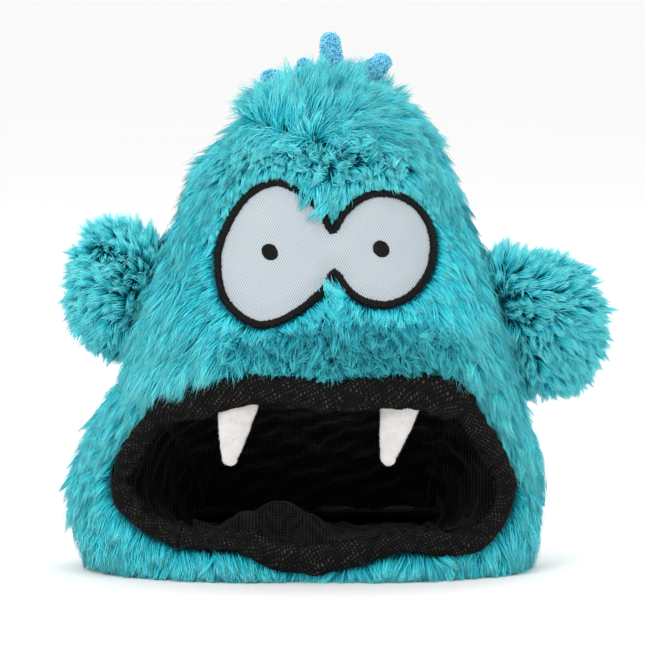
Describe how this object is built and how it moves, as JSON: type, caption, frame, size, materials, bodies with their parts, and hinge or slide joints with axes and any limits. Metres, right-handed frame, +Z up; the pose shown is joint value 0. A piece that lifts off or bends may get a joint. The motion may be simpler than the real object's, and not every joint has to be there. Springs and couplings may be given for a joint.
{
  "type": "moving mouth puppet",
  "caption": "Shaggy plush monster hand puppet whose lined mouth opens and closes on a fabric hinge, with stubby arms, felt fangs, stitched eyes and a stuffed crest.",
  "frame": {"origin": "centre of the puppet's box, at the level of the surface it stands on", "axes": "+Z up, the face looks along -Y, +X is the puppet's own left side"},
  "size_m": [0.2628, 0.1474, 0.2748],
  "materials": {
    "plush": "long turquoise pile, soft sheen",
    "woven_lining": "matt black coarse weave",
    "lip_band": "matt black coarse weave, rolled edge",
    "binding_tape": "smooth turquoise tape",
    "eye_cloth": "fine white twill, slight satin",
    "embroidery": "black satin stitch",
    "felt": "white wool felt",
    "boucle": "sky blue looped terry",
    "fibre_fill": "white polyester fibre",
    "board": "plain stiffening board"
  },
  "bodies": {
    "head": {"face_panel": "plush", "back_panel": "plush", "head_stuffing": "fibre_fill", "stuffing_liner": "woven_lining", "hand_lining": "woven_lining", "opening_binding": "binding_tape", "base_panel": "woven_lining", "eye_patch": "eye_cloth", "eye_outline": "embroidery", "left_pupil": "embroidery", "right_pupil": "embroidery", "palate_lining": "woven_lining", "palate_board": "board", "finger_pocket": "woven_lining", "left_cheek_lining": "woven_lining", "right_cheek_lining": "woven_lining", "throat_lining": "woven_lining", "upper_lip_band": "lip_band"},
    "jaw": {"jaw_lining": "woven_lining", "jaw_board": "board", "thumb_pocket": "woven_lining", "chin_panel": "plush", "lower_lip_band": "lip_band"},
    "left_arm": {"left_arm_fur": "plush", "left_arm_stuffing": "fibre_fill"},
    "right_arm": {"right_arm_fur": "plush", "right_arm_stuffing": "fibre_fill"},
    "left_fang": {"left_fang": "felt"},
    "right_fang": {"right_fang": "felt"},
    "crest_spike_1": {"crest_spike_1": "boucle"},
    "crest_spike_2": {"crest_spike_2": "boucle"},
    "crest_spike_3": {"crest_spike_3": "boucle"},
    "crest_spike_4": {"crest_spike_4": "boucle"}
  },
  "joints": [
    {"name": "mouth_hinge", "type": "hinge", "parent": "head", "child": "jaw", "pos_m": [0, 0.05, 0.014], "axis": [-1, 0, 0], "range_deg": [0, 36]},
    {"name": "left_arm_seam", "type": "hinge", "parent": "head", "child": "left_arm", "pos_m": [0.09, 0.006, 0.132], "axis": [0.225, 0, -0.9744], "range_deg": [-35, 35], "stiffness_Nm_per_rad": 0.02},
    {"name": "right_arm_seam", "type": "hinge", "parent": "head", "child": "right_arm", "pos_m": [-0.1034, 0.006, 0.141], "axis": [0.3665, 0, 0.9304], "range_deg": [-35, 35], "stiffness_Nm_per_rad": 0.02},
    {"name": "left_fang_seam", "type": "hinge", "parent": "head", "child": "left_fang", "pos_m": [0.033, -0.0601, 0.0925], "axis": [-1, 0, 0], "range_deg": [-12, 35]},
    {"name": "right_fang_seam", "type": "hinge", "parent": "head", "child": "right_fang", "pos_m": [-0.049, -0.0612, 0.0925], "axis": [-1, 0, 0], "range_deg": [-12, 35]},
    {"name": "crest_1_sway", "type": "hinge", "parent": "head", "child": "crest_spike_1", "pos_m": [-0.023, 0.018, 0.2468], "axis": [0, 1, 0], "range_deg": [-15, 15], "stiffness_Nm_per_rad": 0.003},
    {"name": "crest_2_sway", "type": "hinge", "parent": "head", "child": "crest_spike_2", "pos_m": [-0.011, 0.03, 0.2436], "axis": [0, 1, 0], "range_deg": [-15, 15], "stiffness_Nm_per_rad": 0.003},
    {"name": "crest_3_sway", "type": "hinge", "parent": "head", "child": "crest_spike_3", "pos_m": [-0.002, 0.012, 0.2513], "axis": [0, 1, 0], "range_deg": [-15, 15], "stiffness_Nm_per_rad": 0.003},
    {"name": "crest_4_sway", "type": "hinge", "parent": "head", "child": "crest_spike_4", "pos_m": [0.0104, 0.017, 0.2487], "axis": [0, 1, 0], "range_deg": [-15, 15], "stiffness_Nm_per_rad": 0.003}
  ]
}
